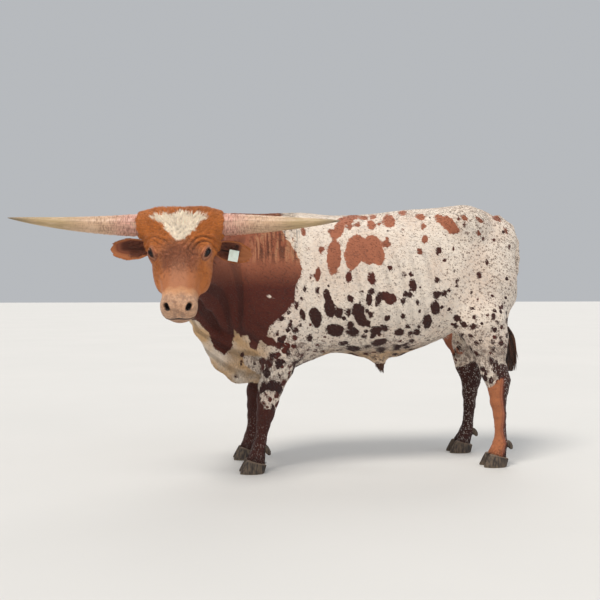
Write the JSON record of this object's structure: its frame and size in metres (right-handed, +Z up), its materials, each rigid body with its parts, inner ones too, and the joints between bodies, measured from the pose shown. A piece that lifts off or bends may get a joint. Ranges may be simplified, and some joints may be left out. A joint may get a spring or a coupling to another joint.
{
  "type": "texas longhorn bull",
  "caption": "Life-size Texas longhorn bull standing still, head turned to its left, long level horns, speckled coat, ear tag",
  "frame": {"origin": "centre of the box seen from above, on the floor under the hooves", "axes": "+Z up, +X from the head end to the tail, +Y to the animal's right side"},
  "size_m": [2.6292, 1.021, 1.3903],
  "materials": {
    "coat": "short matt hair, cream with red-brown and dark spots",
    "long_hair": "dark brown long hair",
    "horn": "dull pinkish tan horn, flaky near the root, darker tips",
    "hoof": "dull dark horn",
    "eye": "wet dark brown",
    "tag": "pale satin plastic"
  },
  "bodies": {
    "root": {"torso": "coat", "neck": "coat", "leg_fore_left": "coat", "hoof_outer_fore_left": "hoof", "dewclaw_outer_fore_left": "hoof", "hoof_inner_fore_left": "hoof", "dewclaw_inner_fore_left": "hoof", "leg_fore_right": "coat", "hoof_outer_fore_right": "hoof", "dewclaw_outer_fore_right": "hoof", "hoof_inner_fore_right": "hoof", "dewclaw_inner_fore_right": "hoof", "leg_hind_left": "coat", "hoof_outer_hind_left": "hoof", "dewclaw_outer_hind_left": "hoof", "hoof_inner_hind_left": "hoof", "dewclaw_inner_hind_left": "hoof", "leg_hind_right": "coat", "hoof_outer_hind_right": "hoof", "dewclaw_outer_hind_right": "hoof", "hoof_inner_hind_right": "hoof", "dewclaw_inner_hind_right": "hoof", "tail": "coat", "tail_switch": "long_hair", "sheath": "coat", "scrotum": "coat", "head": "coat", "eye_left": "eye", "horn_left": "horn", "ear_left": "coat", "eye_right": "eye", "horn_right": "horn", "ear_right": "coat", "ear_tag": "tag"}
  },
  "joints": []
}
